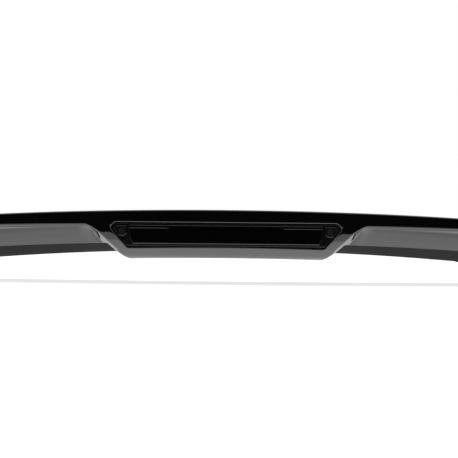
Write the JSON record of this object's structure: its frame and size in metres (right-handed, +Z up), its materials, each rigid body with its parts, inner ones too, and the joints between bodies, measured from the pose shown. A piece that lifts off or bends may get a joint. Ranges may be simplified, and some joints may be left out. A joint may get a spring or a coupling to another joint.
{
  "type": "car rear spoiler",
  "caption": "Gloss black boot-lid spoiler: hollow swept wing with an undercut tail and a raised middle that holds a smoked third brake lamp, on studs and tape.",
  "frame": {"origin": "on the lid's surface, midway between the two inner studs", "axes": "+X to the right seen from behind the car, +Y towards the car's front, +Z up"},
  "size_m": [1.18, 0.2014, 0.1003],
  "materials": {
    "gloss_black": "moulded shell painted gloss black",
    "satin_black": "satin black moulding with a fine grain",
    "smoked_lens": "deep smoked clear plastic, polished",
    "lamp_black": "black moulded housing, semi-gloss",
    "bright_reflector": "vacuum-metallised plastic",
    "board_green": "green solder resist",
    "chip_yellow": "light chip with a yellow window",
    "resistor_black": "ceramic chip",
    "screw_steel": "zinc-plated steel",
    "foam": "closed-cell foam",
    "clip_steel": "spring steel, phosphated",
    "socket_black": "black nylon",
    "pin_brass": "tinned brass",
    "breather_white": "white breather",
    "rubber": "black rubber",
    "stud_steel": "zinc-plated steel with a rolled thread",
    "tape": "foam tape under a red release film",
    "dark_screw": "black phosphated steel"
  },
  "bodies": {
    "root": {"outer_shell": "gloss_black", "base_shell": "satin_black", "lamp_lens": "smoked_lens", "lamp_housing": "lamp_black", "lamp_reflector": "bright_reflector", "circuit_board": "board_green", "led_chips": "chip_yellow", "board_resistors": "resistor_black", "board_screws": "screw_steel", "lamp_gasket": "foam", "lamp_screws": "dark_screw", "screw_clips": "clip_steel", "lamp_socket": "socket_black", "socket_pins": "pin_brass", "breather_plug": "breather_white", "lead_grommet": "rubber", "mount_studs": "stud_steel", "stud_seals": "foam", "front_tape": "tape", "rear_tape": "tape", "edge_seal": "rubber", "shell_screws": "dark_screw"}
  },
  "joints": []
}
